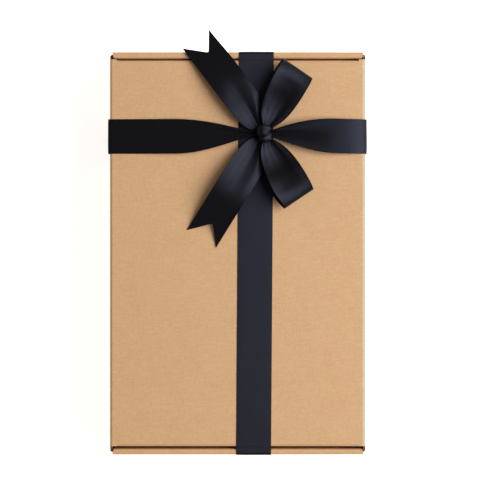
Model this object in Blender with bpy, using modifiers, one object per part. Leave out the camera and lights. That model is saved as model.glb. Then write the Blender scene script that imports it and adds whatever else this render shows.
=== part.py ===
"""A kraft roll-end gift box tied both ways with a satin ribbon and a bow.

Metres, +Z up. X runs from the back wall, where the lid turns, to the front wall, where its flap tucks in.
Y runs from the near end to the far end. The box stands on the ribbon under it, at Z = 0.
"""

import math

import bmesh
import bpy
from mathutils import Euler, Matrix, Vector

# Box, outside
BOX_WIDTH = 0.178
BOX_LENGTH = 0.280
BOX_HEIGHT = 0.064
BOARD = 0.0013
GAP = 0.0003  # between neighbouring layers and at each crease

# Ribbon
RIBBON_WIDTH = 0.024
RIBBON = 0.00035
LENGTHWISE_X_FAR = 0.0125
LENGTHWISE_X_NEAR = 0.0106
CROSSWISE_Y = 0.0812

# Folds and clearances of the box
RIM_INSET = 0.0017  # the end walls are this much shorter than the box on each side
RIM_TAPER = 0.0008
LID_END_CLEARANCE = 0.0013
FLAP_CLEARANCE = 0.0013  # from the front wall to the tuck flap's crease
CORNER_FLAP_LENGTH = 0.060
TAB_X = 0.045
TAB_LENGTH = 0.022
TAB_CLEARANCE = 0.0005
FLAP_HEIGHT = 0.038
FLAP_HALF_LENGTH = 0.131
FLAP_SIDE_SLANT = 0.016
FLAP_TILT = math.radians(5.5)  # lets the flap pass the front wall as the lid turns
FLAP_CORNER = 0.010
CORNER_STEPS = 5
WING_DEPTH = 0.034
WING_HALF_LENGTH = 0.084
WING_CORNER = 0.008
WING_BACK_SLANT = 0.008
WING_FRONT_SLANT = ((0.040, -WING_DEPTH), (0.046, -0.017))  # keeps the folded wing clear of the flap

# Bow. Heights are above the lid.
KNOT_X = 0.0183
KNOT_Y = 0.0828
KNOT_SIZE = (0.0108, 0.0125, 0.0120)
KNOT_ROUNDING = 0.0035
KNOT_ROUNDING_STEPS = 4
LOOP_LENGTH = 0.0505
LOOP_WIDTH = 0.0240
LOOP_ANGLES = {"bow_loop_far": 61.5, "bow_loop_near": -62.5}
TAIL_WIDTH = 0.0235
TAIL_NOTCH = 0.0130
TAILS = {"bow_tail_far": (126.5, 0.0810), "bow_tail_near": (-121.5, 0.0850)}
START_WIDTH = 0.0068  # of a loop or tail where it leaves the knot
START_REACH = 0.0090

# Shape of the gathered ribbon. The reaches are counted out from the middle of the knot.
CROSSWISE_STEPS = 14
CROSSWISE_START_WIDTH = 0.008
CROSSWISE_SPREAD_REACH = (0.002, 0.062)
CROSSWISE_STEP_REACH = (0.018, 0.030)  # over which it comes down off the lengthwise ribbon
LOOP_STEPS = 26
LOOP_MIDDLE_HEIGHT = 0.0082
LOOP_CLOSED_HALF = 0.0012  # half the distance between the two layers at the knot
LOOP_OPEN_HALF = 0.0046  # and this much more where the loop is widest open
LOOP_END_ROUNDNESS = 0.8
LOOP_BELLY_REACH = 1.6
LOOP_BELLY_FULLNESS = 0.6
LOOP_SPREAD = 0.85  # widening for each metre of reach
TAIL_STEPS = 12
TAIL_LOW_HEIGHT = 0.0014
TAIL_RAISE = 0.0034
TAIL_FALL_REACH = (0.012, 0.055)
TAIL_SPREAD_REACH = (0.002, 0.034)

# Worked out from the sizes above
HALF_W = BOX_WIDTH / 2
HALF_L = BOX_LENGTH / 2
BASE = RIBBON + GAP
TOP = BASE + BOX_HEIGHT
FLOOR = BASE + BOARD  # upper face of the bottom panel
UNDER_LID = TOP - BOARD - GAP
FLAP_LAYER = HALF_L - BOARD - GAP  # outer face of the corner flaps
INNER_LAYER = FLAP_LAYER - BOARD - GAP  # outer face of the inner end walls
RIM_INNER = INNER_LAYER - BOARD
LID_HALF_L = RIM_INNER - LID_END_CLEARANCE
LID_HALF_W = HALF_W - GAP
FLAP_OUTER = HALF_W - BOARD - FLAP_CLEARANCE  # outer face of the tuck flap at its crease
END_HALF_W = HALF_W - RIM_INSET
ON_BOARD = GAP + RIBBON / 2  # from a board face to the middle of the ribbon on it
OVER_RIBBON = ON_BOARD + RIBBON + GAP

KRAFT = (0.62, 0.39, 0.20)
SATIN = (0.016, 0.016, 0.021)


def material(name, colour, roughness):
    """A Principled material of this colour and roughness."""
    made = bpy.data.materials.new(name)
    made.use_nodes = True
    shader = made.node_tree.nodes["Principled BSDF"]
    shader.inputs["Base Color"].default_value = (*colour, 1)
    shader.inputs["Roughness"].default_value = roughness
    shader.inputs["Metallic"].default_value = 0.0
    return made


def collection(name):
    made = bpy.data.collections.new(name)
    bpy.context.scene.collection.children.link(made)
    return made


def axis_empty(name, place, parent=None):
    """An empty on a crease, which the pieces that turn there hang from."""
    made = bpy.data.objects.new(name, None)
    made.empty_display_size = 0.02
    PARTS.objects.link(made)
    hang(made, Vector(place), parent)
    return made


def parent_place(parent):
    """Where a parent stands in the world. Parents are only ever moved, not turned."""
    place = Vector((0, 0, 0))
    while parent is not None:
        place += parent.location
        parent = parent.parent
    return place


def hang(obj, place, parent):
    """Puts an object at a place in the world, under a parent."""
    obj.parent = parent
    obj.location = place - parent_place(parent)


def finish(obj, name, colour, roughness):
    obj.name = name
    obj.data.name = name
    obj.data.materials.append(material(name, colour, roughness))
    return obj


def cuboid(size):
    """A cube stretched to this size, with its scale applied, in the parts' collection."""
    bpy.ops.mesh.primitive_cube_add(size=1)
    obj = bpy.context.object
    obj.scale = size
    bpy.ops.object.transform_apply(location=False, rotation=False, scale=True)
    for old in obj.users_collection:
        old.objects.unlink(obj)
    PARTS.objects.link(obj)
    return obj


def block(name, low, high):
    """A flat panel of board between two opposite corners."""
    low, high = Vector(low), Vector(high)
    obj = cuboid(high - low)
    obj.location = (low + high) / 2
    finish(obj, name, KRAFT, 0.85)


def rounded(corners, radii):
    """The outline with an arc at each corner whose radius isn't 0."""
    points = []
    for i, corner in enumerate(corners):
        here = Vector(corner)
        if not radii[i]:
            points.append(here)
            continue
        to_last = (Vector(corners[i - 1]) - here).normalized()
        to_next = (Vector(corners[(i + 1) % len(corners)]) - here).normalized()
        half = to_last.angle(to_next) / 2
        centre = here + (to_last + to_next).normalized() * radii[i] / math.sin(half)
        first = here + to_last * radii[i] / math.tan(half) - centre
        last = here + to_next * radii[i] / math.tan(half) - centre
        for k in range(CORNER_STEPS + 1):
            points.append(centre + first.slerp(last, k / CORNER_STEPS).normalized() * radii[i])
    return points


def outline_panel(name, outlines, place, turn, parent=None):
    """A flat panel cut to an outline, with any further outlines as its holes."""
    curve = bpy.data.curves.new(name, "CURVE")
    curve.dimensions = "2D"
    curve.fill_mode = "BOTH"
    curve.extrude = BOARD / 2
    for outline in outlines:
        spline = curve.splines.new("POLY")
        spline.points.add(len(outline) - 1)
        for point, (x, y) in zip(spline.points, outline):
            point.co = (x, y, 0, 1)
        spline.use_cyclic_u = True
    obj = bpy.data.objects.new(name, curve)
    PARTS.objects.link(obj)
    obj.rotation_euler = turn
    hang(obj, Vector(place), parent)
    return finish(obj, name, KRAFT, 0.85)


def band(name, rows, parent=None):
    """A stretch of ribbon: an open surface through rows of points across it, thickened on both sides."""
    origin = parent_place(parent)
    mesh = bmesh.new()
    grid = [[mesh.verts.new(Vector(p) - origin) for p in row] for row in rows]
    for above, below in zip(grid, grid[1:]):
        for k in range(len(above) - 1):
            mesh.faces.new((above[k], above[k + 1], below[k + 1], below[k]))
    bmesh.ops.recalc_face_normals(mesh, faces=mesh.faces)
    data = bpy.data.meshes.new(name)
    mesh.to_mesh(data)
    mesh.free()
    data.shade_smooth()
    obj = bpy.data.objects.new(name, data)
    PARTS.objects.link(obj)
    obj.parent = parent
    solid = obj.modifiers.new("thickness", "SOLIDIFY")
    solid.thickness = RIBBON
    solid.offset = 0
    solid.use_even_offset = True
    return finish(obj, name, SATIN, 0.4)


def smoothstep(low, high, value):
    t = min(max((value - low) / (high - low), 0), 1)
    return t * t * (3 - 2 * t)


def lengthwise_x(y):
    """The middle of the lengthwise ribbon, which lies very slightly askew."""
    share = (y + HALF_L) / BOX_LENGTH
    return LENGTHWISE_X_NEAR + (LENGTHWISE_X_FAR - LENGTHWISE_X_NEAR) * share


def across_x(x, y, z, width=RIBBON_WIDTH):
    return [(x - width / 2, y, z), (x + width / 2, y, z)]


def across_y(x, z, width=RIBBON_WIDTH, y=CROSSWISE_Y):
    return [(x, y - width / 2, z), (x, y + width / 2, z)]


def bottom():
    """The bottom panel, with a slot at each end for each locking tab."""
    x, y = HALF_W - BOARD - GAP, HALF_L - BOARD - GAP
    outlines = [[(-x, -y), (x, -y), (x, y), (-x, y)]]
    half = TAB_LENGTH / 2 + TAB_CLEARANCE
    for middle in (-TAB_X, TAB_X):
        for end in (-1, 1):
            near, far = sorted((end * (RIM_INNER - GAP), end * (INNER_LAYER + GAP)))
            left, right = middle - half, middle + half
            outlines.append([(left, near), (right, near), (right, far), (left, far)])
    outline_panel("bottom_panel", outlines, (0, 0, BASE + BOARD / 2), (0, 0, 0))


def long_walls():
    """Both long walls end under the lid, which reaches out over them."""
    y = FLAP_LAYER
    block("back_wall", (-HALF_W, -y, BASE), (-HALF_W + BOARD, y, UNDER_LID))
    block("front_wall", (HALF_W - BOARD, -y, BASE), (HALF_W, y, UNDER_LID))


def corner_flaps():
    """The ends of the long walls, folded round each corner between the two layers of the end wall."""
    outer_x = HALF_W - BOARD - GAP
    inner_x = outer_x - CORNER_FLAP_LENGTH
    for side_name, side in (("back", -1), ("front", 1)):
        for end_name, end in (("far", 1), ("near", -1)):
            x = sorted((side * outer_x, side * inner_x))
            y = sorted((end * FLAP_LAYER, end * (FLAP_LAYER - BOARD)))
            name = f"corner_flap_{side_name}_{end_name}"
            block(name, (x[0], y[0], FLOOR + GAP), (x[1], y[1], UNDER_LID - GAP))


def end_walls():
    """Each end is two layers deep, with a rim rolled over the top and tabs through the bottom."""
    inner_x = HALF_W - BOARD - 2 * GAP - RIM_TAPER
    for end_name, end in (("far", 1), ("near", -1)):
        y = sorted((end * HALF_L, end * (HALF_L - BOARD)))
        low, high = (-END_HALF_W, y[0], BASE), (END_HALF_W, y[1], UNDER_LID)
        block(f"end_wall_outer_{end_name}", low, high)

        narrow = END_HALF_W - RIM_TAPER
        inner, outer = end * RIM_INNER, end * HALF_L
        rim = [(-narrow, inner), (narrow, inner), (END_HALF_W, outer), (-END_HALF_W, outer)]
        outline_panel(f"end_rim_{end_name}", [rim], (0, 0, TOP - BOARD / 2), (0, 0, 0))

        low_z, tab_z = FLOOR + GAP, BASE + GAP
        wall = [(-inner_x, UNDER_LID), (-inner_x, low_z)]
        for middle in (-TAB_X, TAB_X):
            left, right = middle - TAB_LENGTH / 2, middle + TAB_LENGTH / 2
            wall += [(left, low_z), (left, tab_z), (right, tab_z), (right, low_z)]
        wall += [(inner_x, low_z), (inner_x, UNDER_LID)]
        place = (0, end * (RIM_INNER + BOARD / 2), 0)
        outline_panel(f"end_wall_inner_{end_name}", [wall], place, (math.pi / 2, 0, 0))


def lid():
    """The lid panel hangs from the hinge crease, and the flap and the wings from their own creases on it."""
    hinge = axis_empty("lid_hinge_axis", (-HALF_W, 0, TOP))
    x, y = LID_HALF_W, LID_HALF_L
    sheet = [(-x, -y), (x, -y), (x, y), (-x, y)]
    middle = (0, 0, TOP - BOARD / 2)
    outline_panel("lid_panel", [sheet], middle, (0, 0, 0), hinge)

    crease = axis_empty("tuck_flap_axis", (FLAP_OUTER - BOARD, 0, UNDER_LID), hinge)
    wide, narrow = FLAP_HALF_LENGTH, FLAP_HALF_LENGTH - FLAP_SIDE_SLANT
    tip = -FLAP_HEIGHT
    corners = [(-wide, 0), (-narrow, tip), (narrow, tip), (wide, 0)]
    shape = rounded(corners, (0, FLAP_CORNER, FLAP_CORNER, 0))
    tilt = Matrix.Rotation(FLAP_TILT, 3, "Y")
    upright = Euler((math.pi / 2, 0, math.pi / 2)).to_matrix()
    place = parent_place(crease) + tilt @ Vector((BOARD / 2, 0, 0))
    outline_panel("lid_tuck_flap", [shape], place, (tilt @ upright).to_euler(), crease)

    for end_name, end in (("far", 1), ("near", -1)):
        crease = axis_empty(f"wing_{end_name}_axis", (0, end * (LID_HALF_L - BOARD), UNDER_LID), hinge)
        reach = WING_HALF_LENGTH
        back_slant = (WING_BACK_SLANT - reach, -WING_DEPTH)
        corners = [(-reach, 0), back_slant, *WING_FRONT_SLANT, (reach, 0)]
        shape = rounded(corners, (0, WING_CORNER, WING_CORNER, 0, 0))
        place = (0, end * (LID_HALF_L - BOARD / 2), UNDER_LID)
        outline_panel(f"lid_wing_{end_name}", [shape], place, (math.pi / 2, 0, 0), crease)
    return hinge


def ribbon_on_lid(hinge):
    """The stretches on the lid. The crosswise one is gathered towards the knot and rides over the other."""
    z = TOP + ON_BOARD
    rows = [across_x(lengthwise_x(y), y, z) for y in (-LID_HALF_L, LID_HALF_L)]
    band("ribbon_lengthwise_top", rows, hinge)

    knot_half = KNOT_SIZE[0] / 2 + GAP
    for name, side in (("left", -1), ("right", 1)):
        start, edge = KNOT_X + side * knot_half, side * LID_HALF_W
        rows = []
        for k in range(CROSSWISE_STEPS + 1):
            share = k / CROSSWISE_STEPS
            x = start + (edge - start) * share
            away = abs(x - KNOT_X)
            spread = smoothstep(*CROSSWISE_SPREAD_REACH, away)
            width = CROSSWISE_START_WIDTH + (RIBBON_WIDTH - CROSSWISE_START_WIDTH) * spread
            lift = 1 - smoothstep(*CROSSWISE_STEP_REACH, away)
            y = CROSSWISE_Y + (KNOT_Y - CROSSWISE_Y) * (1 - share) ** 2
            rows.append(across_y(x, TOP + ON_BOARD + (OVER_RIBBON - ON_BOARD) * lift, width, y))
        band(f"ribbon_crosswise_{name}", rows, hinge)


def ribbon_on_walls():
    """The stretches down the walls to the underside. Those at the ends also turn over the rims."""
    z = TOP + ON_BOARD
    for name, end in (("far", 1), ("near", -1)):
        x = lengthwise_x(end * HALF_L)
        wall = end * (HALF_L + ON_BOARD)
        path = [(end * (LID_HALF_L + GAP), z), (wall, z), (wall, 0)]
        band(f"ribbon_end_{name}", [across_x(x, y, height) for y, height in path])
    for name, side in (("back", -1), ("front", 1)):
        wall = side * (HALF_W + ON_BOARD)
        band(f"ribbon_{name}_drop", [across_y(wall, height) for height in (TOP - BOARD + GAP, 0)])


def ribbon_under_box():
    """The box rests on these. The crosswise stretch ends beside the lengthwise one, so that both lie flat."""
    z = RIBBON / 2
    rows = [across_x(lengthwise_x(y), y, z) for y in (-HALF_L, HALF_L)]
    band("ribbon_underside_lengthwise", rows)
    reach = RIBBON_WIDTH / 2 + 2 * GAP
    middle = lengthwise_x(CROSSWISE_Y)
    for name, inner, outer in (("back", middle - reach, -HALF_W), ("front", middle + reach, HALF_W)):
        band(f"ribbon_underside_cross_{name}", [across_y(x, z) for x in (inner, outer)])


def knot(hinge):
    """The wrap of ribbon that holds the bow, a block rounded on every edge."""
    middle = Vector((KNOT_X, KNOT_Y, TOP + OVER_RIBBON - RIBBON / 2 + KNOT_SIZE[2] / 2))
    obj = cuboid(KNOT_SIZE)
    soften = obj.modifiers.new("rounding", "BEVEL")
    soften.width = KNOT_ROUNDING
    soften.segments = KNOT_ROUNDING_STEPS
    obj.data.shade_smooth()
    hang(obj, middle, hinge)
    finish(obj, "bow_knot", SATIN, 0.4)


def spread_rows(angle, path, widths, notch=0.0, columns=5):
    """Rows across a ribbon that leaves the knot at this angle. Each path point is (reach, height)."""
    along = Vector((math.cos(angle), math.sin(angle), 0))
    across = Vector((-along.y, along.x, 0))
    knot_place = Vector((KNOT_X, KNOT_Y, TOP))
    rows = []
    for index, ((reach, height), width) in enumerate(zip(path, widths)):
        share = index / (len(path) - 1)
        row = []
        for k in range(columns):
            side = 2 * k / (columns - 1) - 1
            cut = notch * (1 - abs(side)) * share**3
            place = knot_place + along * (reach - cut) + across * (side * width / 2)
            row.append(place + Vector((0, 0, height)))
        rows.append(row)
    return rows


def bow_loops(hinge):
    """Each loop runs out low, turns round at its end and comes back above, and is open at both sides."""
    for name, degrees in LOOP_ANGLES.items():
        path, widths = [], []
        for k in range(LOOP_STEPS + 1):
            turn = 2 * math.pi * (k / LOOP_STEPS - 0.5)
            out = (0.5 + 0.5 * math.cos(turn)) ** LOOP_END_ROUNDNESS
            reach = START_REACH + (LOOP_LENGTH - START_REACH) * out
            belly = max(0, math.sin(math.pi * (reach / LOOP_LENGTH) ** LOOP_BELLY_REACH))
            half = LOOP_CLOSED_HALF + LOOP_OPEN_HALF * belly**LOOP_BELLY_FULLNESS
            half *= min(1, abs(turn) * 2)
            path.append((reach, LOOP_MIDDLE_HEIGHT + math.copysign(half, turn)))
            widths.append(min(START_WIDTH + (reach - START_REACH) * LOOP_SPREAD, LOOP_WIDTH))
        band(name, spread_rows(math.radians(degrees), path, widths), hinge)


def bow_tails(hinge):
    """Each tail leaves the knot raised, comes down on the lid, and ends in a swallow-tail cut."""
    for name, (degrees, length) in TAILS.items():
        path, widths = [], []
        for k in range(TAIL_STEPS + 1):
            reach = START_REACH + (length - START_REACH) * k / TAIL_STEPS
            height = TAIL_LOW_HEIGHT + TAIL_RAISE * (1 - smoothstep(*TAIL_FALL_REACH, reach))
            path.append((reach, height))
            widths.append(START_WIDTH + (TAIL_WIDTH - START_WIDTH) * smoothstep(*TAIL_SPREAD_REACH, reach))
        band(name, spread_rows(math.radians(degrees), path, widths, TAIL_NOTCH), hinge)


for leftover in list(bpy.data.objects):
    bpy.data.objects.remove(leftover, do_unlink=True)
PARTS = collection("gift_box")

bottom()
long_walls()
corner_flaps()
end_walls()
lid_hinge = lid()
ribbon_on_lid(lid_hinge)
ribbon_on_walls()
ribbon_under_box()
knot(lid_hinge)
bow_loops(lid_hinge)
bow_tails(lid_hinge)
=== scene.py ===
"""Kraft gift box tied both ways with black satin ribbon, with a bow of two loops and two tails.

Geometry is worked out in millimetres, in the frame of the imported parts, and scaled to metres in the meshes.
X runs from the hinge side to the tuck-in side, Y from the near end to the far end, and Z up.
"""

import math

import bmesh
import bpy
from bpy.props import FloatProperty, PointerProperty, StringProperty
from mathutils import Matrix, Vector, noise


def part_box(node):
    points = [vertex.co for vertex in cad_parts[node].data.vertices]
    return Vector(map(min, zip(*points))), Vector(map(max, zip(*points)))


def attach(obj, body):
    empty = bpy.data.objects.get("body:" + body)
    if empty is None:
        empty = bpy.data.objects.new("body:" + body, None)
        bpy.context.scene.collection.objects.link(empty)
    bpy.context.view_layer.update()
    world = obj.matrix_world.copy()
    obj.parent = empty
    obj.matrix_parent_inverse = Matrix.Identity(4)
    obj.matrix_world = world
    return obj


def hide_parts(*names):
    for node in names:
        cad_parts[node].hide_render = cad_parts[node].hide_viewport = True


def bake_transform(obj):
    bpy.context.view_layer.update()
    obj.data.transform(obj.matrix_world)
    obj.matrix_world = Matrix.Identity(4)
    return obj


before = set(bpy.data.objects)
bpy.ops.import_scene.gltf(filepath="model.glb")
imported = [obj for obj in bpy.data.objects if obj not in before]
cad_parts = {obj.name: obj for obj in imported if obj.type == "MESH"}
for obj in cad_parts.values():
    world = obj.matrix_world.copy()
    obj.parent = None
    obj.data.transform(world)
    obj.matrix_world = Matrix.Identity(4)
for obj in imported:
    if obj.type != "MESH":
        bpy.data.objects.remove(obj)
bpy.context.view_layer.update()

bl_info = {
    "name": "Ribbon-tied gift box",
    "version": (1, 0, 0),
    "blender": (4, 5, 0),
    "location": "View3D > Sidebar > Gift Box",
    "description": "Builds a kraft gift box with a satin ribbon and bow around its packed parts",
    "category": "Add Mesh",
}

MM = 0.001


def cad(node):
    """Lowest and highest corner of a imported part, in millimetres."""
    low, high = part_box(node)
    return low / MM, high / MM


WALL_LOW, WALL_HIGH = cad("front_wall")
LID_LOW, LID_HIGH = cad("lid_panel")
RIM_LOW, RIM_HIGH = cad("end_rim_far")
INNER_LOW, INNER_HIGH = cad("end_wall_inner_far")
FLAP_LOW, FLAP_HIGH = cad("lid_tuck_flap")
WING_LOW, WING_HIGH = cad("lid_wing_far")
CORNER_LOW, CORNER_HIGH = cad("corner_flap_front_far")
END_FAR_LOW, END_FAR_HIGH = cad("ribbon_end_far")
END_NEAR_LOW, END_NEAR_HIGH = cad("ribbon_end_near")
CROSS_LOW, CROSS_HIGH = cad("ribbon_front_drop")
KNOT_LOW, KNOT_HIGH = cad("bow_knot")

BOARD = WALL_HIGH.x - WALL_LOW.x
BASE = WALL_LOW.z
TOP = LID_HIGH.z
HALF_W = WALL_HIGH.x
HALF_L = RIM_HIGH.y
CROSS_Y = (CROSS_LOW.y + CROSS_HIGH.y) / 2
KNOT = (KNOT_LOW + KNOT_HIGH) / 2

# Measures in millimetres and angles in degrees, which the pieces share or are drawn from.
BEND = BOARD + 0.3  # outer radius of the creases, but for the lid's own
SHARP_BOARD, SHARP_RIBBON = 32, 60  # an edge turned by more than this is shown sharp
TAB_X, TAB_HALF = 45, 10.8  # locking tabs of the end walls
FLAP_LEAN, FLAP_SLANT, FLAP_CORNER = 5.5, 16, 10
WING_SLANT, WING_CORNER = 8, 8
WING_STEP, WING_SHOULDER, WING_FRONT = 38, 17, 6  # how far and how deep its front edge is cut back for the flap
NOSE_STEPS = 14
LID_SHIFT = 0.35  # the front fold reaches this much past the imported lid
COLUMNS = 24  # faces across a ribbon
UNEVEN = 0.12  # how much a ribbon that lies flat still waves
LENGTHWISE_DROOP, CROSSWISE_DROOP = 0.14, 0.12  # how much lower a ribbon's edges lie than its middle
LENGTHWISE_SHIFT, LENGTHWISE_SPREAD = 0.33, 0.15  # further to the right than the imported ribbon, and wider each side
ON_LID, ON_END, ON_FRONT, ON_BACK = 0.32, 0.3, 0.32, 0.34  # from a board's face to the middle of the ribbon on it
LOOSE = 0.85  # how much further the ribbon stands off the back wall under the hinge
UNDER = 0.05  # from the plane under the box to the ribbon
KNOT_RINGS, KNOT_AROUND, KNOT_WRAP = 72, 96, 36
FAR_TAIL_RISE = [
    (0, 3.2), (8, 3.8), (18, 5.7), (28, 7.2), (40, 7.6),
    (52, 6.4), (66, 3.7), (80, 1.1), (90, 0.4), (99, 0.4),
]
NEAR_TAIL_RISE = [
    (0, 3.0), (8, 3.4), (18, 5.6), (29, 8.2), (40, 10.0),
    (50, 10.0), (60, 7.7), (72, 3.6), (83, 0.8), (99, 0.4),
]

# Measures in metres.
SATIN_THREAD = 0.0005  # from one thread to the next, drawn coarser than real ones so that they show
KEY_PLACE, KEY_TARGET, KEY_SIZE = (1.40, 0.11, 1.44), (0, 0, 0.06), 1.7
CAMERA_X, CAMERA_Y = 0.00845, 0.00235


# ---------------------------------------------------------------- settings


def length(name, description, default):
    return FloatProperty(name=name, description=description, default=default, unit="LENGTH", subtype="DISTANCE")


def hex_colour(name, description, default):
    return StringProperty(name=name, description=description + ", as sRGB hex", default=default)


class GiftBoxBoardSettings(bpy.types.PropertyGroup):
    """Sizes and colours of the corrugated board."""

    flute_pitch: length("Flute pitch", "Distance from one flute of the board's core to the next", 0.0033)
    front_nose: length("Front fold", "How far in from its edge the lid's front fold begins to round off", 0.0027)
    hinge_radius: length("Hinge radius", "Outer radius of the fold that the lid turns on", 0.0021)
    liner: hex_colour("Liner", "Brown kraft liner", "D9AF82")
    liner_dark: hex_colour("Dark fibres", "Darker fibres and clouds in the liner", "C59668")
    liner_light: hex_colour("Light fibres", "Lighter fibres in the liner", "E7BE93")
    # Paler, greyer liner for the front fold: partly worn pale by rubbing, partly a painted highlight of the whitish
    # glare the fold catches from the key light.
    liner_rubbed: hex_colour("Rubbed liner", "Liner on the front fold, where it is rubbed pale", "B7A68C")
    core: hex_colour("Core", "Fluted core where the board is cut", "A67B50")
    # The hollows' colour is painted shade: the flutes are not cut open in the mesh, and the dark of their inside is
    # painted on the edge.
    painted_hollow_shade: hex_colour("Hollows", "Hollows between the flutes", "3A2614")


class GiftBoxRibbonSettings(bpy.types.PropertyGroup):
    """Sizes and colours of the satin ribbon and the bow."""

    width: length("Ribbon width", "Width of the ribbon", 0.024)
    thickness: length("Ribbon thickness", "Thickness of the ribbon", 0.00025)
    far_loop: length("Far loop", "From the middle of the knot to the end of the far loop", 0.0505)
    near_loop: length("Near loop", "From the middle of the knot to the end of the near loop", 0.0511)
    loop_height: length("Loop height", "Height of a loop's upper layer over the lid", 0.0122)
    far_tail: length("Far tail", "From the middle of the knot to the tips of the far tail", 0.0815)
    near_tail: length("Near tail", "From the middle of the knot to the tips of the near tail", 0.0848)
    notch: length("Tail notch", "Depth of the swallow-tail cut", 0.0131)
    satin: hex_colour("Satin", "Black polyester satin", "0D0C0D")
    selvage: hex_colour("Selvage", "Woven edges of the ribbon", "080808")


class GiftBoxStageSettings(bpy.types.PropertyGroup):
    """Camera, lights and floor."""

    camera_height: length("Camera height", "Height of the camera over the lid", 1.1)
    field: length("Field", "Width of what the camera sees at the lid", 0.3475)
    key_power: FloatProperty(name="Key light", description="Power of the large soft light, in watts", default=50.5)
    sky: FloatProperty(name="Fill light", description="Strength of the even light from all round", default=0.22)
    paper: hex_colour("Paper", "Floor paper", "F8F8F8")


# ---------------------------------------------------------------- materials


def linear(colour):
    """An sRGB hex colour as linear RGBA."""
    parts = [int(colour[k:k + 2], 16) / 255 for k in (0, 2, 4)]
    return (*[c / 12.92 if c <= 0.04045 else ((c + 0.055) / 1.055) ** 2.4 for c in parts], 1.0)


def add(tree, kind, inputs=None, **settings):
    """Adds a shader node with its settings. An input given as an output socket is linked, and else it is set."""
    made = tree.nodes.new("ShaderNode" + kind)
    for name, value in settings.items():
        setattr(made, name, value)
    for name, value in (inputs or {}).items():
        if isinstance(value, bpy.types.NodeSocket):
            tree.links.new(value, made.inputs[name])
        else:
            made.inputs[name].default_value = value
    return made


def new_material(name):
    """An empty material with its output and a Principled shader."""
    material = bpy.data.materials.new(name)
    material.use_nodes = True
    tree = material.node_tree
    tree.nodes.clear()
    shader = add(tree, "BsdfPrincipled")
    output = add(tree, "OutputMaterial")
    tree.links.new(shader.outputs["BSDF"], output.inputs["Surface"])
    return material, tree, shader


def sized_noise(tree, place, size_mm, detail=2.0, roughness=0.5, stretch=(1, 1, 1)):
    """Noise whose features are about this many millimetres across, drawn out along an axis by a small stretch."""
    scaled = add(tree, "Mapping", {"Vector": place, "Scale": stretch})
    return add(tree, "TexNoise", {
        "Vector": scaled.outputs["Vector"], "Scale": 1 / (size_mm * MM), "Detail": detail, "Roughness": roughness,
    }).outputs["Fac"]


def ramp(tree, value, low, high):
    """Where value runs from low to high, a factor from 0 to 1."""
    return add(tree, "MapRange", {"Value": value, "From Min": low, "From Max": high}).outputs["Result"]


def mixed(tree, factor, first, second):
    """The first colour where factor is 0 and the second where it is 1."""
    mix = add(tree, "Mix", data_type="RGBA")
    for index, value in ((0, factor), (6, first), (7, second)):
        if isinstance(value, bpy.types.NodeSocket):
            tree.links.new(value, mix.inputs[index])
        else:
            mix.inputs[index].default_value = value
    return mix.outputs[2]


def math_node(tree, operation, first, second=0.0):
    return add(tree, "Math", {0: first, 1: second}, operation=operation).outputs[0]


def kraft_liner(board, name, colours):
    """Unbleached kraft liner, calendered on the mill: matt brown paper with long fibres and cloudy patches."""
    material, tree, shader = new_material(name)
    place = add(tree, "TexCoord").outputs["Object"]
    clouds = sized_noise(tree, place, 14, 3)
    mottle = sized_noise(tree, place, 1.7, 4, 0.6)
    along = sized_noise(tree, place, 1.3, 3, 0.6, (0.22, 1, 1))  # fibres 6 mm long, drawn 1.3 mm wide to show
    across = sized_noise(tree, place, 1.3, 3, 0.6, (1, 0.22, 1))
    flecks = sized_noise(tree, place, 0.9, 1, 0.4, (0.6, 1, 1))
    colour, dark, light = [linear(colour) for colour in colours]
    for pattern, low, high, strength, tint in (
        (clouds, 0.35, 0.85, 0.22, dark),
        (mottle, 0.40, 0.75, 0.42, dark),
        (along, 0.46, 0.74, 0.34, light),
        (across, 0.50, 0.76, 0.30, dark),
        (flecks, 0.64, 0.72, 0.35, dark),
    ):
        colour = mixed(tree, math_node(tree, "MULTIPLY", ramp(tree, pattern, low, high), strength), colour, tint)
    tree.links.new(colour, shader.inputs["Base Color"])
    rough = add(tree, "MapRange", {"Value": mottle, "To Min": 0.50, "To Max": 0.64})
    tree.links.new(rough.outputs["Result"], shader.inputs["Roughness"])
    # The flutes under the liner print through as faint ribs along X, one to a flute.
    split = add(tree, "SeparateXYZ", {"Vector": place})
    turns = math_node(tree, "MULTIPLY", split.outputs["Y"], 2 * math.pi / board.flute_pitch)
    ribs = math_node(tree, "MULTIPLY", math_node(tree, "SINE", turns), 0.10)
    height = math_node(tree, "ADD", ribs, math_node(tree, "ADD", mottle, along))
    bump = add(tree, "Bump", {"Strength": 0.30, "Distance": 0.00012, "Height": height})
    tree.links.new(bump.outputs["Normal"], shader.inputs["Normal"])
    return material


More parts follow.
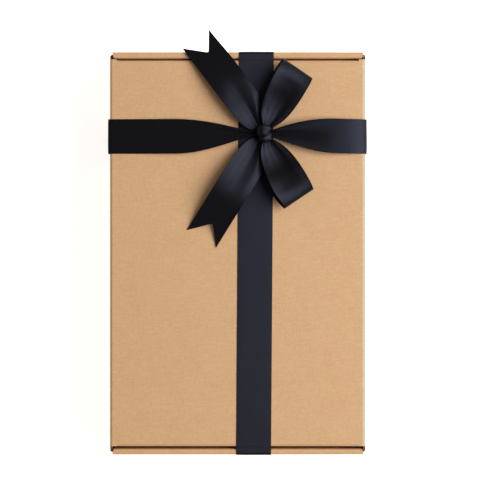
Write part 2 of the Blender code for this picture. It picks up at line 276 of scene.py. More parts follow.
def cut_edge(board, name, fluted):
    """Die-cut edge of the board. Across the flutes it shows the wavy core between two liners, and the hollows between
    them as painted shade, dark brown.
    """
    material, tree, shader = new_material(name)
    uv = add(tree, "SeparateXYZ", {"Vector": add(tree, "TexCoord").outputs["UV"]})
    run, depth = uv.outputs["X"], uv.outputs["Y"]
    ragged = sized_noise(tree, add(tree, "TexCoord").outputs["Object"], 0.5, 3, 0.6)
    middle = math_node(tree, "ADD", math_node(tree, "MULTIPLY", ragged, 0.10), 0.45)
    if fluted:
        turns = math_node(tree, "MULTIPLY", run, 2 * math.pi / board.flute_pitch)
        wave = math_node(tree, "MULTIPLY", math_node(tree, "SINE", turns), 0.33)
        middle = math_node(tree, "ADD", middle, wave)
    from_core = math_node(tree, "ABSOLUTE", math_node(tree, "SUBTRACT", depth, middle))
    from_face = math_node(tree, "ABSOLUTE", math_node(tree, "SUBTRACT", depth, 0.5))
    core = ramp(tree, from_core, 0.20, 0.10)
    liners = ramp(tree, from_face, 0.34, 0.40)
    # Painted shade: between the core and the liners the edge takes the dark colour of the shaded hollows.
    colour = mixed(tree, core, linear(board.painted_hollow_shade), linear(board.core))
    colour = mixed(tree, liners, colour, linear(board.liner))
    tree.links.new(colour, shader.inputs["Base Color"])
    shader.inputs["Roughness"].default_value = 0.9
    solid = math_node(tree, "MAXIMUM", core, liners)
    height = math_node(tree, "ADD", solid, math_node(tree, "MULTIPLY", ragged, 0.4))
    bump = add(tree, "Bump", {"Strength": 0.8, "Distance": 0.0003, "Height": height})
    tree.links.new(bump.outputs["Normal"], shader.inputs["Normal"])
    return material


def black_satin(ribbon):
    """Double-faced polyester satin: black, with a cool sheen that the long threads stretch across the ribbon."""
    material, tree, shader = new_material("woven_black_satin")
    uv = add(tree, "TexCoord").outputs["UV"]
    split = add(tree, "SeparateXYZ", {"Vector": uv})
    width = ribbon.width
    from_middle = math_node(tree, "ABSOLUTE", math_node(tree, "SUBTRACT", split.outputs["X"], width / 2))
    selvage = ramp(tree, from_middle, width / 2 - 0.0012, width / 2 - 0.0006)  # 0.9 mm of firmer weave
    slub = sized_noise(tree, uv, 1.2, 3, 0.6, (1, 0.12, 1))  # uneven warp threads, drawn coarser than their 0.1 mm
    colour = mixed(tree, math_node(tree, "MULTIPLY", slub, 0.5), linear(ribbon.satin), linear(ribbon.selvage))
    colour = mixed(tree, selvage, colour, linear(ribbon.selvage))
    tree.links.new(colour, shader.inputs["Base Color"])
    rough = add(tree, "MapRange", {"Value": slub, "To Min": 0.46, "To Max": 0.55}).outputs["Result"]
    tree.links.new(rough, shader.inputs["Roughness"])
    tangent = add(tree, "Tangent", direction_type="UV_MAP")
    tree.links.new(tangent.outputs["Tangent"], shader.inputs["Tangent"])
    shader.inputs["Anisotropic"].default_value = 0.75
    shader.inputs["IOR"].default_value = 1.5
    shader.inputs["Specular IOR Level"].default_value = 0.35
    shader.inputs["Specular Tint"].default_value = linear("CFD7FF")
    turns = math_node(tree, "MULTIPLY", split.outputs["X"], 2 * math.pi / SATIN_THREAD)
    threads = math_node(tree, "SINE", turns)
    height = math_node(tree, "ADD", math_node(tree, "MULTIPLY", threads, 0.2), slub)
    height = math_node(tree, "ADD", height, math_node(tree, "MULTIPLY", selvage, 1.2))
    bump = add(tree, "Bump", {"Strength": 0.2, "Distance": 0.0001, "Height": height})
    tree.links.new(bump.outputs["Normal"], shader.inputs["Normal"])
    return material


def floor_paper(stage):
    """Matt white background paper, lit through so that it stays white right up to the box."""
    material, tree, shader = new_material("white_background_paper")
    grain = sized_noise(tree, add(tree, "TexCoord").outputs["Object"], 3, 2)
    paper = linear(stage.paper)
    colour = mixed(tree, math_node(tree, "MULTIPLY", grain, 0.08), paper, linear("E6E4E0"))
    tree.links.new(colour, shader.inputs["Base Color"])
    shader.inputs["Roughness"].default_value = 0.9
    shader.inputs["Emission Color"].default_value = paper
    shader.inputs["Emission Strength"].default_value = 0.85
    bump = add(tree, "Bump", {"Strength": 0.1, "Distance": 0.0002, "Height": grain})
    tree.links.new(bump.outputs["Normal"], shader.inputs["Normal"])
    return material


def made_once(name, build, *facts):
    """The material of this name, built the first time that a piece asks for it."""
    return bpy.data.materials.get(name) or build(*facts)


def board_materials(board):
    """Liner, the cut edges across and along the flutes, and a paler liner for a fold: partly worn pale by rubbing,
    partly a painted highlight of the glare on the lit fold.
    """
    # These paler colours paint the lit fold's glare on top of its wear.
    rubbed_and_painted_glare = (board.liner_rubbed, "B9A68E", "D8CCB8")
    return [
        plain_liner(board),
        made_once("board_edge_across_flutes", cut_edge, board, "board_edge_across_flutes", True),
        made_once("board_edge_along_flutes", cut_edge, board, "board_edge_along_flutes", False),
        made_once("kraft_liner_rubbed_fold", kraft_liner, board, "kraft_liner_rubbed_fold", rubbed_and_painted_glare),
    ]


def plain_liner(board):
    colours = (board.liner, board.liner_dark, board.liner_light)
    return made_once("kraft_liner_board", kraft_liner, board, "kraft_liner_board", colours)


# ---------------------------------------------------------------- shapes


def smoothstep(low, high, value):
    t = min(max((value - low) / (high - low), 0), 1)
    return t * t * (3 - 2 * t)


def steps(low, high, spacing):
    """Evenly spaced values from low to high, about this far apart."""
    count = max(1, round(abs(high - low) / spacing))
    return [low + (high - low) * k / count for k in range(count + 1)]


def arc(centre, radii, start, end, count=10):
    """Points on an ellipse's arc, from one angle to another, in degrees."""
    angles = [math.radians(start + (end - start) * k / count) for k in range(count + 1)]
    return [(centre[0] + radii[0] * math.cos(a), centre[1] + radii[1] * math.sin(a)) for a in angles]


def smooth_line(points, count=7):
    """A curve through these points, bending evenly, with this many steps between one and the next."""
    ends = [points[0], *points, points[-1]]
    line = []
    for before, start, end, after in zip(ends, ends[1:], ends[2:], ends[3:]):
        p, a, b, q = (Vector(point) for point in (before, start, end, after))
        for k in range(count):
            t = k / count
            bend, twist = (2 * p - 5 * a + 4 * b - q) * t**2, (3 * a - p - 3 * b + q) * t**3
            line.append(0.5 * (2 * a + (b - p) * t + bend + twist))
    return line + [Vector(points[-1])]


def in_space(axis, a, b, along):
    """A point from its place in the plane across an axis and its place along it."""
    return Vector({"X": (along, a, b), "Y": (a, along, b), "Z": (a, b, along)}[axis])


def side_normals(line):
    """For each point of a line in a plane, the unit vector to its left."""
    found = []
    for k in range(len(line)):
        before, after = Vector(line[max(k - 1, 0)]), Vector(line[min(k + 1, len(line) - 1)])
        run = (after - before).normalized()
        found.append(Vector((-run.y, run.x)))
    return found


SIDES_ACROSS = (1, 2)
SIDES_ALONG = (2, 1)


def folded_board(mesh, line, spans, axis, edges):
    """Adds board to a mesh: its middle line in the plane across an axis, and from where to where it reaches along it.

    edges are the materials of its sides, at the two ends of the spans, and of its caps, at the line's two ends.
    """
    uv = mesh.loops.layers.uv.verify()
    rows = []
    for (a, b), left, span in zip(line, side_normals(line), spans):
        corners = []
        for side in (BOARD / 2, -BOARD / 2):
            for along in span:
                corners.append(mesh.verts.new(in_space(axis, a + left.x * side, b + left.y * side, along)))
        rows.append(corners)

    def face(corners, material, places):
        made = mesh.faces.new(corners)
        made.material_index = material
        made.smooth = True
        for loop, place in zip(made.loops, places):
            loop[uv].uv = place

    run = 0.0
    for k in range(len(rows) - 1):
        here, ahead = rows[k], rows[k + 1]
        next_run = run + (Vector(line[k + 1]) - Vector(line[k])).length * MM
        flat = [(run, 0), (run, 1), (next_run, 1), (next_run, 0)]
        face((here[0], here[1], ahead[1], ahead[0]), 0, flat)
        face((here[2], here[3], ahead[3], ahead[2]), 0, flat)
        face((here[0], here[2], ahead[2], ahead[0]), edges[0], flat)
        face((here[1], here[3], ahead[3], ahead[1]), edges[0], flat)
        run = next_run
    for corners, span in ((rows[0], spans[0]), (rows[-1], spans[-1])):
        ends = [(span[0] * MM, 0), (span[1] * MM, 0), (span[1] * MM, 1), (span[0] * MM, 1)]
        face((corners[0], corners[1], corners[3], corners[2]), edges[1], ends)


def solid_outline(mesh, outline, span, axis, cap, rubbed_and_painted_glare):
    """Adds an outline in the plane across an axis, drawn out along it. Some of its sides take the paler liner, partly
    worn pale by rubbing and partly a painted highlight.
    """
    ends = [[mesh.verts.new(in_space(axis, a, b, along)) for a, b in outline] for along in span]
    for k in range(len(outline)):
        after = (k + 1) % len(outline)
        made = mesh.faces.new((ends[0][k], ends[0][after], ends[1][after], ends[1][k]))
        made.smooth = True
        made.material_index = 3 if k in rubbed_and_painted_glare else 0
    for end in ends:
        mesh.faces.new(end).material_index = cap


def placed(name, data):
    """A new object in the scene."""
    obj = bpy.data.objects.new(name, data)
    bpy.context.scene.collection.objects.link(obj)
    return obj


def board_piece(name, mesh, materials, nodes):
    """An object from a mesh in millimetres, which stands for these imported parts."""
    bmesh.ops.recalc_face_normals(mesh, faces=mesh.faces)
    bmesh.ops.scale(mesh, vec=(MM, MM, MM), verts=mesh.verts)
    data = bpy.data.meshes.new(name)
    mesh.to_mesh(data)
    mesh.free()
    for material in materials:
        data.materials.append(material)
    data.set_sharp_from_angle(angle=math.radians(SHARP_BOARD))
    obj = placed(name, data)
    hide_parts(*nodes)
    return obj


def path_length(points):
    return sum((b - a).length for a, b in zip(points, points[1:]))


def ribbon_piece(name, rows, nodes, along=None):
    """A stretch of ribbon through rows of points across it, in millimetres, and thickened.

    along gives each point's place along the ribbon, where a row doesn't run straight across.
    """
    ribbon = bpy.context.scene.gift_box_ribbon
    middle = [row[len(row) // 2] for row in rows]
    mesh = bmesh.new()
    uv = mesh.loops.layers.uv.verify()
    grid = [[mesh.verts.new(p * MM) for p in row] for row in rows]
    columns = len(rows[0]) - 1
    if not along:
        runs = [path_length(middle[:k + 1]) for k in range(len(rows))]
        along = [[run] * (columns + 1) for run in runs]
    for k in range(len(rows) - 1):
        for j in range(columns):
            corners = ((k, j), (k, j + 1), (k + 1, j + 1), (k + 1, j))
            made = mesh.faces.new([grid[row][column] for row, column in corners])
            made.smooth = True
            for loop, (row, column) in zip(made.loops, corners):
                loop[uv].uv = (ribbon.width * column / columns, along[row][column] * MM)
    data = bpy.data.meshes.new(name)
    mesh.to_mesh(data)
    mesh.free()
    data.materials.append(made_once("woven_black_satin", black_satin, ribbon))
    obj = placed(name, data)
    solid = obj.modifiers.new("thickness", "SOLIDIFY")
    solid.thickness = ribbon.thickness
    solid.offset = 0
    bpy.context.view_layer.update()
    shaped = bpy.data.meshes.new_from_object(obj.evaluated_get(bpy.context.evaluated_depsgraph_get()))
    obj.modifiers.clear()
    obj.data = shaped
    shaped.name = name
    shaped.set_sharp_from_angle(angle=math.radians(SHARP_RIBBON))
    bpy.data.meshes.remove(data)
    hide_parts(*nodes)
    return obj


# ---------------------------------------------------------------- board


def long_wall(board, side, side_name):
    """A long wall with its two corner flaps, folded round the box's corners, and the crease at its foot."""
    middle = BEND - BOARD / 2
    corner_x, corner_y = HALF_W - BEND, CORNER_HIGH.y - BEND
    line = [(CORNER_LOW.x, corner_y + middle)]
    line += arc((corner_x, corner_y), (middle, middle), 90, 0)
    line += [(x, -y) for x, y in reversed(line)]
    line = [(side * x, y) for x, y in line]
    mesh = bmesh.new()
    low, high = BASE + BEND, TOP - 2 * BOARD - 0.4
    folded_board(mesh, line, [(low, high)] * len(line), "Z", SIDES_ACROSS)
    foot = arc((corner_x, low), (middle, middle), -90, 0)
    foot = [(side * x, z) for x, z in foot]
    folded_board(mesh, foot, [(-corner_y, corner_y)] * len(foot), "Y", SIDES_ALONG)
    nodes = [f"{side_name}_wall", f"corner_flap_{side_name}_far", f"corner_flap_{side_name}_near"]
    wall = board_piece(f"{side_name}_wall_folded", mesh, board_materials(board), nodes)
    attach(wall, "base")


def end_wall(board, end, end_name):
    """A rolled end wall in one strip: up the outside, over the rim, and down the inside to the locking tabs."""
    middle = BEND - BOARD / 2
    outer_y, inner_y = HALF_L - BEND, RIM_LOW.y + BEND + (0.5 if end < 0 else 0)
    low, high = BASE + BEND, TOP - BEND
    outer_half, inner_half = RIM_HIGH.x, INNER_HIGH.x
    line = arc((outer_y, low), (middle, middle), -90, 0)
    line += arc((outer_y, high), (middle, middle), 0, 90)
    line += arc((inner_y, high), (middle, middle), 90, 180)
    line.append((inner_y - middle, BASE + BOARD + 0.3))
    spans = []
    for y, z in line:
        share = min(max((outer_y + middle - y) / (outer_y - inner_y + 2 * middle), 0), 1)
        half = outer_half - (outer_half - inner_half) * share
        spans.append((-half, half))
    line = [(end * y, z) for y, z in line]
    mesh = bmesh.new()
    folded_board(mesh, line, spans, "X", SIDES_ACROSS)
    for tab in (-TAB_X, TAB_X):
        tab_line = [(end * (inner_y - middle), BASE + BOARD + 0.25), (end * (inner_y - middle), BASE + 0.3)]
        folded_board(mesh, tab_line, [(tab - TAB_HALF, tab + TAB_HALF)] * 2, "X", SIDES_ACROSS)
    nodes = [f"end_wall_outer_{end_name}", f"end_rim_{end_name}", f"end_wall_inner_{end_name}"]
    wall = board_piece(f"end_wall_{end_name}_rolled", mesh, board_materials(board), nodes)
    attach(wall, "base")


def lid_panel(board):
    """The lid, from the top of the back wall over the hinge crease, to the rounded nose of its front fold."""
    radius, nose = board.hinge_radius / MM, board.front_nose / MM
    middle = radius - BOARD / 2
    hinge_x = radius - HALF_W
    nose_x = LID_HIGH.x + LID_SHIFT - nose
    low, level = TOP - radius, TOP - BOARD / 2
    line = [(BOARD / 2 - HALF_W, low - 0.35)]
    line += arc((hinge_x, low), (middle, middle), 180, 90, 17)
    wing = WING_HIGH.x
    notch = LID_HIGH.y - BOARD - 0.1
    places = [*steps(hinge_x + 0.35, -wing - 0.3, 0.35), -wing - 0.05, -wing, wing, wing + 0.05, nose_x]
    line += [(x, level) for x in places]
    reach = (LID_LOW.y + 0.2, LID_HIGH.y + 0.65)  # it sits a little towards the far end
    spans = [(-notch, notch) if abs(x) <= wing else reach for x, z in line]
    mesh = bmesh.new()
    folded_board(mesh, line, spans, "Y", SIDES_ALONG)
    foot, back = TOP - 2 * BOARD, FLAP_HIGH.x - BOARD
    lowest = math.degrees(math.asin((nose - 2 * BOARD) / nose))
    rounding = arc((nose_x, TOP - nose), (nose, nose), 90, lowest, NOSE_STEPS)
    outline = [*rounding, (back, foot), (back, TOP - BOARD), (nose_x, TOP - BOARD)]
    # The nose's arc takes the paler liner: wear plus a painted highlight of the glare on this lit fold.
    solid_outline(mesh, outline, reach, "Y", 2, range(2, NOSE_STEPS))
    lid = board_piece("lid_panel_creased", mesh, board_materials(board), ["lid_panel"])
    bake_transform(lid)


def depths_to_end(first, full, corner, spacing):
    """Depths down a panel, evenly spaced and then round the arc of its corner."""
    around = [full - corner + corner * math.sin(math.radians(a)) for a in range(9, 91, 9)]
    return steps(first, full - corner, spacing) + around


def rounded_end(depth, full, corner):
    """How much narrower a panel is at this depth, for the arc at its corner."""
    into = depth - (full - corner)
    return corner - math.sqrt(max(corner**2 - into**2, 0)) if into > 0 else 0.0


def tuck_flap(board):
    """The flap that tucks in behind the front wall. It leans inwards and narrows to rounded corners."""
    lean = math.radians(FLAP_LEAN)
    x_top, z_top = FLAP_HIGH.x - BOARD / 2, TOP - 2 * BOARD - 0.02
    full = (z_top - FLAP_LOW.z) / math.cos(lean)
    line, spans = [], []
    for depth in depths_to_end(0, full, FLAP_CORNER, 4):
        line.append((x_top - depth * math.sin(lean), z_top - depth * math.cos(lean)))
        half = FLAP_HIGH.y - FLAP_SLANT * depth / full - rounded_end(depth, full, FLAP_CORNER)
        spans.append((-half, half))
    mesh = bmesh.new()
    folded_board(mesh, line, spans, "Y", SIDES_ALONG)
    flap = board_piece("tuck_flap_creased", mesh, board_materials(board), ["lid_tuck_flap"])
    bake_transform(flap)


def lid_wing(board, end, end_name):
    """A wing with its crease on the lid's end. Its outline keeps clear of the tuck flap."""
    middle = BOARD / 2 + 0.1
    crease_y, crease_z = WING_HIGH.y - BOARD - 0.1, TOP - BOARD - 0.1
    line = arc((crease_y, crease_z), (middle, middle), 90, 0)
    top = len(line)
    full = crease_z - WING_LOW.z
    line += [(crease_y + middle, crease_z - depth) for depth in depths_to_end(1, full, WING_CORNER, 3)]
    spans = []
    for k, (y, z) in enumerate(line):
        depth = max(crease_z - z, 0) if k >= top else 0
        corner = rounded_end(depth, full, WING_CORNER)
        low = WING_LOW.x + WING_SLANT * depth / full + corner
        high = WING_HIGH.x - WING_STEP * min(depth / WING_SHOULDER, 1) - corner
        spans.append((low, high - WING_FRONT * max(depth - WING_SHOULDER, 0) / WING_SHOULDER))
    line = [(end * y, z) for y, z in line]
    mesh = bmesh.new()
    folded_board(mesh, line, spans, "X", SIDES_ACROSS)
    wing = board_piece(f"lid_wing_{end_name}_creased", mesh, board_materials(board), [f"lid_wing_{end_name}"])
    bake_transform(wing)


# ---------------------------------------------------------------- ribbon round the box


def across():
    """Places across the ribbon, from -1 at one edge to 1 at the other."""
    return [2 * k / COLUMNS - 1 for k in range(COLUMNS + 1)]


def lengthwise_x(y):
    """The middle of the lengthwise ribbon, which lies very slightly askew."""
    near, far = (END_NEAR_LOW.x + END_NEAR_HIGH.x) / 2, (END_FAR_LOW.x + END_FAR_HIGH.x) / 2
    return near + (far - near) * (y + HALF_L) / (2 * HALF_L) + LENGTHWISE_SHIFT


def limp(x, y, size=26.0):
    """A small slow unevenness, from -1 to 1."""
    return noise.noise(Vector((x / size, y / size, 3.7)))


def lengthwise_row(y, z, out=Vector((0, 0, 1))):
    """A row across the lengthwise ribbon. Its edges lie a little lower than its middle."""
    half = (END_FAR_HIGH.x - END_FAR_LOW.x) / 2 + LENGTHWISE_SPREAD
    middle = lengthwise_x(y)
    row = []
    for t in across():
        x = middle + half * t
        rise = UNEVEN * limp(x * 2, y + z) - LENGTHWISE_DROOP * t**6
        row.append(Vector((x, y, z)) + out * rise)
    return row


def lengthwise_top():
    """Along the lid, under the crosswise ribbon."""
    reach = LID_HIGH.y + 0.15
    rows = [lengthwise_row(y, TOP + ON_LID) for y in steps(-reach, reach, 2.5)]
    nodes = ["ribbon_lengthwise_top"]
    obj = ribbon_piece("ribbon_lengthwise_on_lid", rows, nodes)
    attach(obj, "lid")


def end_drop(end, end_name):
    """Over the rim, down the end wall and round its foot."""
    reach = BEND + ON_END
    path = [(y, TOP + ON_END) for y in steps(LID_HIGH.y + 0.3, HALF_L - BEND, 1)]
    path += arc((HALF_L - BEND, TOP - BEND), (reach, reach), 81, 0)
    path += [(HALF_L + ON_END, z) for z in steps(TOP - BEND - 1.5, BASE + BEND + 1.5, 2.5)]
    path += arc((HALF_L - BEND, BASE + BEND), (reach, reach), 0, -90)
    rows = []
    for (y, z), out in zip(path, side_normals(path)):
        rows.append(lengthwise_row(end * y, z, Vector((0, end * out.x, out.y))))
    name = f"ribbon_down_{end_name}_end"
    obj = ribbon_piece(name, rows, [f"ribbon_end_{end_name}"])
    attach(obj, "base")


def crosswise_rise(x, y, t):
    """How much a point of the crosswise ribbon lies over the ribbon's even line."""
    return UNEVEN * limp(x, y * 2, 21) - CROSSWISE_DROOP * t**6


def crosswise_row(x, z, out):
    """A row across the crosswise ribbon."""
    width = bpy.context.scene.gift_box_ribbon.width / MM
    row = []
    for t in across():
        y = CROSS_Y + width / 2 * t
        row.append(Vector((x, y, z)) + out * crosswise_rise(x, y, t))
    return row


def gathered(distance, spread, power):
    """Width of the crosswise ribbon at this distance from the knot, as a share of its full width."""
    return math.sin(math.pi / 2 * min(distance / spread, 1)) ** power


def crosswise_top(side, name, node):
    """From under the knot, pleated and a little off the lid, down to the edge, where it has its full width."""
    width = bpy.context.scene.gift_box_ribbon.width / MM
    if side < 0:
        spread, power, fold = 62, 1.3, 0.8
        path = [(KNOT.x - 3.2, 4.6), (6, 4.4), (-14, 3.7), (-38, 2.7), (-60, 1.6), (-76, 0.8), (LID_LOW.x + 4, 0.42)]
    else:
        spread, power, fold = 50, 0.93, 1.7
        path = [(KNOT.x + 3.2, 4.4), (30, 5.2), (45, 5.4), (60, 4.9), (70, 4.0), (78, 2.85), (83, 1.7), (86, 0.6)]
        path += [(88.6, -0.85), (89.75, -2.3)]
    path = [tuple(p) for p in smooth_line(path, 9)]
    rows = []
    for (x, h), left in zip(path, side_normals(path)):
        away = abs(x - KNOT.x)
        share = gathered(away, spread, power)
        middle = CROSS_Y + (KNOT.y - CROSS_Y) * smoothstep(60, 4, away)
        fade = smoothstep(50, 8, away)
        row = []
        for t in across():
            y = middle + width / 2 * share * t
            rise = crosswise_rise(x, y, t)
            rise += fold * fade * min(away / 9, 1) * section(t, -1.2, -0.1 if side > 0 else 0.35, 0.75)
            rise += 0.35 * smoothstep(28, 6, away) * math.cos(math.pi * 4.2 * t)
            row.append(Vector((x, y, TOP + h)) + Vector((side * left.x, 0, abs(left.y))) * rise)
        rows.append(row)
    obj = ribbon_piece(name, rows, [node])
    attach(obj, "lid")


def front_drop():
    """Down the front wall from the lid's edge, and round its foot."""
    reach = BEND + ON_FRONT
    path = [(HALF_W + 0.76, TOP - 2.34), (HALF_W + 0.72, TOP - 3.4)]
    path += [(HALF_W + ON_FRONT, z) for z in steps(TOP - 5, BASE + BEND + 1.5, 2.5)]
    path += arc((HALF_W - BEND, BASE + BEND), (reach, reach), 0, -90)
    rows = []
    for (x, z), out in zip(path, side_normals(path)):
        rows.append(crosswise_row(x, z, Vector((out.x, 0, out.y))))
    obj = ribbon_piece("ribbon_down_front", rows, ["ribbon_front_drop"])
    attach(obj, "base")


def back_drop():
    """Up the back wall and over the lid's hinge crease, onto the lid."""
    radius = bpy.context.scene.gift_box_board.hinge_radius / MM
    reach = BEND + ON_BACK
    path = arc((BEND - HALF_W, BASE + BEND), (reach, reach), 270, 180)
    wall_x, hinge_x = -HALF_W - ON_BACK, radius - HALF_W
    path += [(wall_x, z) for z in steps(BASE + BEND + 1.5, TOP - 9, 2.5)]
    path += [(wall_x - LOOSE * smoothstep(TOP - 9, TOP - 3, z), z) for z in steps(TOP - 7, TOP - 3, 1)]
    path.append((wall_x - LOOSE, TOP - 1.8))
    path += arc((hinge_x + 0.77, TOP - 0.82), (radius + ON_BACK + 1.62, ON_BACK + 0.82), 180, 90, 17)
    path += [(x, TOP + ON_BACK + 0.08) for x in steps(hinge_x + 1.4, LID_LOW.x + 3.95, 0.7)]
    rows = []
    for (x, z), left in zip(path, side_normals(path)):
        rows.append(crosswise_row(x, z, Vector((left.x, 0, left.y))))
    obj = ribbon_piece("ribbon_over_hinge", rows, ["ribbon_back_drop"])
    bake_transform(obj)


def under_box():
    """Under the box the lengthwise stretch is lowest, and the crosswise one passes between it and the board."""
    low = bpy.context.scene.gift_box_ribbon.thickness / MM / 2 + UNDER
    up = Vector((0, 0, 0.3))
    reach = HALF_L - BOARD - 0.4
    rows = [lengthwise_row(y, low, up) for y in steps(-reach, reach, 4)]
    nodes = ["ribbon_underside_lengthwise"]
    obj = ribbon_piece("ribbon_lengthwise_under", rows, nodes)
    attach(obj, "base")
    reach = HALF_W - BOARD - 0.4
    rows = []
    for x in steps(-reach, reach, 2):
        over = smoothstep(16, 12.6, abs(x - lengthwise_x(CROSS_Y)))
        rows.append(crosswise_row(x, low + 0.33 * over, up * 0.3))
    nodes = ["ribbon_underside_cross_back", "ribbon_underside_cross_front"]
    obj = ribbon_piece("ribbon_crosswise_under", rows, nodes)
    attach(obj, "base")


# ---------------------------------------------------------------- bow


def knot():
    """The wrap that holds the bow. It goes over from left to right in two bulges with a slanting crease between."""
    half = (KNOT_HIGH - KNOT_LOW) / 2
    mesh = bmesh.new()
    uv = mesh.loops.layers.uv.verify()
    grid = []
    for k in range(KNOT_RINGS + 1):
        v = math.sin(math.pi / 2 * (2 * k / KNOT_RINGS - 1))
        size = math.sqrt(max(1 - abs(v) ** 5, 0.0004))
        ring = []
        for j in range(KNOT_AROUND):
            turned = 2 * math.pi * j / KNOT_AROUND
            u, w = [math.copysign(abs(part) ** 0.8, part) for part in (math.sin(turned), math.cos(turned))]
            crease = (v + 0.20 - 0.33 * u) / 0.15
            second = (v - 0.42 + 0.25 * u) / 0.12
            sunk = 1.15 * math.exp(-crease**2) + 0.45 * math.exp(-second**2)
            swell = size * (1 + 0.05 * math.cos(3 * math.pi * v)) - sunk / half.x * smoothstep(-0.6, 0.5, w)
            lean = 0.07 * smoothstep(0.1, -0.5, v) - 0.05 * smoothstep(0, 0.6, v)
            place = Vector(((u * swell + lean) * half.x, v * half.y, w * swell * half.z + 0.4))
            # Its top falls away to the right in one plane.
            slope = 6.4 - 0.43 * (place.x - lean * half.x) - sunk - 2.5 * v**4
            if place.z > 0:
                place.z = 0.5 * (place.z + slope - math.hypot(place.z - slope, 0.6))
            ring.append(mesh.verts.new((KNOT + place) * MM))
        grid.append(ring)
    for k in range(KNOT_RINGS):
        for j in range(KNOT_AROUND):
            after = (j + 1) % KNOT_AROUND
            made = mesh.faces.new((grid[k][j], grid[k][after], grid[k + 1][after], grid[k + 1][j]))
            made.smooth = True
            for loop, (row, turn) in zip(made.loops, ((k, j), (k, j + 1), (k + 1, j + 1), (k + 1, j))):
                across_it = (grid[row][0].co.y / MM - KNOT.y) + 12
                loop[uv].uv = (across_it * MM, turn / KNOT_AROUND * KNOT_WRAP * MM)
    for ring in (grid[0], grid[-1]):
        mesh.faces.new(ring)
    bmesh.ops.recalc_face_normals(mesh, faces=mesh.faces)
    data = bpy.data.meshes.new("bow_knot_wrap")
    mesh.to_mesh(data)
    mesh.free()
    data.materials.append(made_once("woven_black_satin", black_satin, bpy.context.scene.gift_box_ribbon))
    obj = placed("bow_knot_wrap", data)
    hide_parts("bow_knot")
    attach(obj, "lid")


def bow_frame(angle):
    """Directions of a loop or tail: out from the knot, and across to its right-hand edge."""
    out = Vector((math.cos(math.radians(angle)), math.sin(math.radians(angle)), 0))
    right = Vector((out.y, -out.x, 0))
    return out, right if right.x > 0 else -right


def section(t, left_edge, valley, ridge):
    """Height across a gathered ribbon, from -1 to 1: down from its left edge, up over a ridge, down at the right."""
    if t < valley:
        return math.cos(math.pi * (t - left_edge) / (valley - left_edge))
    return -math.cos(math.pi * (t - valley) / (ridge - valley))


def bow_loop(angle, reach, skew, sides, name, node, seed):
    """A loop: out along the lid, round a soft fold at its end, and back over itself into the knot."""
    ribbon = bpy.context.scene.gift_box_ribbon
    out, right = bow_frame(angle)
    height = ribbon.loop_height / MM
    lower = [(3, 4.4, 0), (12, 2.6, 0), (26, 2.0, 0), (40, 2.4, 0.05), (reach - 3.2, 3.9, 0.2)]
    turn = [(reach - 0.4, 6.2, 0.5), (reach, 7.9, 0.7), (reach - 1.2, 9.6, 0.85)]
    upper = [(reach - 4.6, height - 1.0, 1), (reach - 9.5, height, 1), (33, height - 0.7, 1), (24, height - 2.8, 1)]
    upper += [(15, height - 4.2, 1), (8, height - 4.4, 1), (3, height - 5.2, 1)]
    rows = []
    for r, h, layer in smooth_line(lower + turn + upper):
        left = 13.2 * (1 - math.exp(-max(r - 1.5, 0.2) / 9.5)) + (sides[0] - 13.2) * smoothstep(36, 52, r)
        far = sides[1] * (1 - math.exp(-max(r - 3, 0.2) / 11.5))
        shift = -1.9 * (1 - layer) * smoothstep(4, 30, r)
        spoon = 2.6 * smoothstep(10, 30, r) * smoothstep(reach + 3, 36, r) * layer
        gather = 1.5 * smoothstep(2, 9, r) * smoothstep(46, 14, r) * (0.25 + 0.75 * layer)
        row = []
        for t in across():
            side = t * (far if t > 0 else left) + shift
            lift = spoon * (t * t - 0.5) + gather * section(t, -1.15, 0.25, 0.72)
            lift += 0.35 * math.exp(-r / 16) * math.cos(math.pi * (5 * t + seed))
            lift += 0.5 * limp(side + 40 * seed, r + 30 * layer, 15) * smoothstep(6, 24, r)
            along = r - skew * t * smoothstep(8, reach - 4, r)
            row.append(Vector((KNOT.x, KNOT.y, TOP)) + out * along + right * side + Vector((0, 0, h + lift)))
        rows.append(row)
    obj = ribbon_piece(name, rows, [node])
    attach(obj, "lid")


def bow_tail(angle, reach, rise, narrowing, name, node, seed):
    """A tail: it rises from the knot, and comes down on the lid at its swallow-tailed end."""
    ribbon = bpy.context.scene.gift_box_ribbon
    out, right = bow_frame(angle)
    notch = ribbon.notch / MM
    profile = [(p.x, p.y) for p in smooth_line(rise)]
    deepest = 0.15  # the cut's inner corner lies this far to the right of the middle
    rows, along = [], []
    for share in steps(0, 1, 1 / 60):
        row, places = [], []
        for t in across():
            cut = notch * smoothstep(0.45, 1, share)
            cut *= (1 + t) / (1 + deepest) if t < deepest else (1 - t) / (1 - deepest)
            r = 3 + (reach - 3) * share - cut
            left = 10.7 * (1 - math.exp(-max(r - 1, 0.2) / 8)) + 0.4 * smoothstep(40, 80, r)
            far = 13.0 * smoothstep(1, 28, r) - narrowing * smoothstep(50, 82, r)
            side = t * (far if t > 0 else left)
            h = at(profile, r)
            gather = 1.25 * smoothstep(2, 10, r) * smoothstep(54, 16, r)
            h += gather * section(t, -1.1, 0.1, 0.66)
            h += 0.3 * math.exp(-r / 16) * math.cos(math.pi * (5 * t + seed))
            h += 0.5 * limp(side + 50 * seed, r, 17) * smoothstep(78, 30, r) * smoothstep(4, 16, r)
            h = max(h, 0.36 + 0.12 * limp(side, r, 9))
            row.append(Vector((KNOT.x, KNOT.y, TOP + h)) + out * r + right * side)
            places.append(r)
        rows.append(row)
        along.append(places)
    obj = ribbon_piece(name, rows, [node], along)
    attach(obj, "lid")


def at(profile, x):
    """Height of a profile at x."""
    for (low, start), (high, end) in zip(profile, profile[1:]):
        if x <= high:
            return start + (end - start) * max(x - low, 0) / (high - low)
    return profile[-1][1]


# ---------------------------------------------------------------- operators


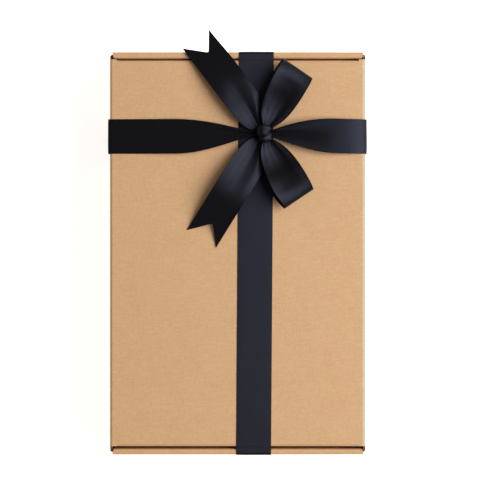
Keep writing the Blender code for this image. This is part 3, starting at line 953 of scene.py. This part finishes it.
class GIFTBOX_OT_walls(bpy.types.Operator):
    """Build the walls of the box and finish its bottom panel"""

    bl_idname = "gift_box.walls"
    bl_label = "Walls"

    def execute(self, context):
        board = context.scene.gift_box_board
        for side_name, side in (("back", -1), ("front", 1)):
            long_wall(board, side, side_name)
        for end_name, end in (("far", 1), ("near", -1)):
            end_wall(board, end, end_name)
        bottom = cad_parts["bottom_panel"]
        bottom.data.materials.clear()
        bottom.data.materials.append(plain_liner(board))
        return {"FINISHED"}


class GIFTBOX_OT_lid(bpy.types.Operator):
    """Build the lid with its tuck flap and wings"""

    bl_idname = "gift_box.lid"
    bl_label = "Lid"

    def execute(self, context):
        board = context.scene.gift_box_board
        lid_panel(board)
        tuck_flap(board)
        for end_name, end in (("far", 1), ("near", -1)):
            lid_wing(board, end, end_name)
        return {"FINISHED"}


class GIFTBOX_OT_wrapping(bpy.types.Operator):
    """Build the ribbon that goes round the box both ways"""

    bl_idname = "gift_box.wrapping"
    bl_label = "Ribbon round the box"

    def execute(self, context):
        lengthwise_top()
        for end_name, end in (("far", 1), ("near", -1)):
            end_drop(end, end_name)
        crosswise_top(-1, "ribbon_crosswise_back", "ribbon_crosswise_left")
        crosswise_top(1, "ribbon_crosswise_front", "ribbon_crosswise_right")
        front_drop()
        back_drop()
        under_box()
        return {"FINISHED"}


class GIFTBOX_OT_bow(bpy.types.Operator):
    """Build the knot, the two loops and the two tails of the bow"""

    bl_idname = "gift_box.bow"
    bl_label = "Bow"

    def execute(self, context):
        ribbon = context.scene.gift_box_ribbon
        knot()
        bow_loop(61.7, ribbon.far_loop / MM, 1.3, (12.6, 12.0), "bow_loop_far_satin", "bow_loop_far", 0.25)
        bow_loop(-62.4, ribbon.near_loop / MM, 1.3, (11.0, 12.9), "bow_loop_near_satin", "bow_loop_near", 0.9)
        reach = ribbon.far_tail / MM
        bow_tail(125.9, reach, FAR_TAIL_RISE, 1.4, "bow_tail_far_satin", "bow_tail_far", 0.2)
        reach = ribbon.near_tail / MM
        bow_tail(-121.4, reach, NEAR_TAIL_RISE, 0.4, "bow_tail_near_satin", "bow_tail_near", 0.75)
        return {"FINISHED"}


class GIFTBOX_OT_stage(bpy.types.Operator):
    """Set up the floor, the soft lights and the camera straight above"""

    bl_idname = "gift_box.stage"
    bl_label = "Stage"

    def execute(self, context):
        stage = context.scene.gift_box_stage
        scene = context.scene
        bpy.ops.mesh.primitive_grid_add(x_subdivisions=24, y_subdivisions=24, size=6)
        floor = context.object
        floor.name = "floor_paper"
        floor.data.materials.append(floor_paper(stage))
        world = bpy.data.worlds.new("soft_white_surround")
        world.use_nodes = True
        background = world.node_tree.nodes["Background"]
        background.inputs["Color"].default_value = linear("FFF2E4")
        background.inputs["Strength"].default_value = stage.sky
        scene.world = world
        light = bpy.data.lights.new("key_softbox", "AREA")
        light.shape = "RECTANGLE"
        light.size = light.size_y = KEY_SIZE
        light.energy = stage.key_power
        lamp = placed("key_softbox", light)
        lamp.location = KEY_PLACE
        lamp.rotation_euler = (Vector(KEY_TARGET) - Vector(KEY_PLACE)).to_track_quat("-Z", "Y").to_euler()
        camera = bpy.data.cameras.new("camera_above")
        camera.sensor_width = 36
        camera.lens = camera.sensor_width * stage.camera_height / stage.field
        camera.clip_end = 20
        viewer = placed("camera_above", camera)
        viewer.location = (CAMERA_X, CAMERA_Y, TOP * MM + stage.camera_height)
        scene.camera = viewer
        scene.view_settings.view_transform = "Standard"
        return {"FINISHED"}


class GIFTBOX_PT_panel(bpy.types.Panel):
    """Lists the steps that build the gift box."""

    bl_label = "Gift Box"
    bl_idname = "GIFTBOX_PT_panel"
    bl_space_type = "VIEW_3D"
    bl_region_type = "UI"
    bl_category = "Gift Box"

    def draw(self, context):
        for settings, operators in GROUPS:
            held = getattr(context.scene, settings)
            for name in held.__annotations__:
                self.layout.prop(held, name)
            for operator in operators:
                self.layout.operator(operator.bl_idname)


GROUPS = (
    ("gift_box_board", (GIFTBOX_OT_walls, GIFTBOX_OT_lid)),
    ("gift_box_ribbon", (GIFTBOX_OT_wrapping, GIFTBOX_OT_bow)),
    ("gift_box_stage", (GIFTBOX_OT_stage,)),
)
SETTINGS = {
    "gift_box_board": GiftBoxBoardSettings,
    "gift_box_ribbon": GiftBoxRibbonSettings,
    "gift_box_stage": GiftBoxStageSettings,
}
CLASSES = (*SETTINGS.values(), *[o for _, group in GROUPS for o in group], GIFTBOX_PT_panel)


def register():
    for made in CLASSES:
        bpy.utils.register_class(made)
    for name, group in SETTINGS.items():
        setattr(bpy.types.Scene, name, PointerProperty(type=group))


def unregister():
    for name in SETTINGS:
        delattr(bpy.types.Scene, name)
    for made in reversed(CLASSES):
        bpy.utils.unregister_class(made)


def main():
    register()
    bpy.ops.gift_box.walls()
    bpy.ops.gift_box.lid()
    bpy.ops.gift_box.wrapping()
    bpy.ops.gift_box.bow()
    bpy.ops.gift_box.stage()


if __name__ == "__main__":
    main()
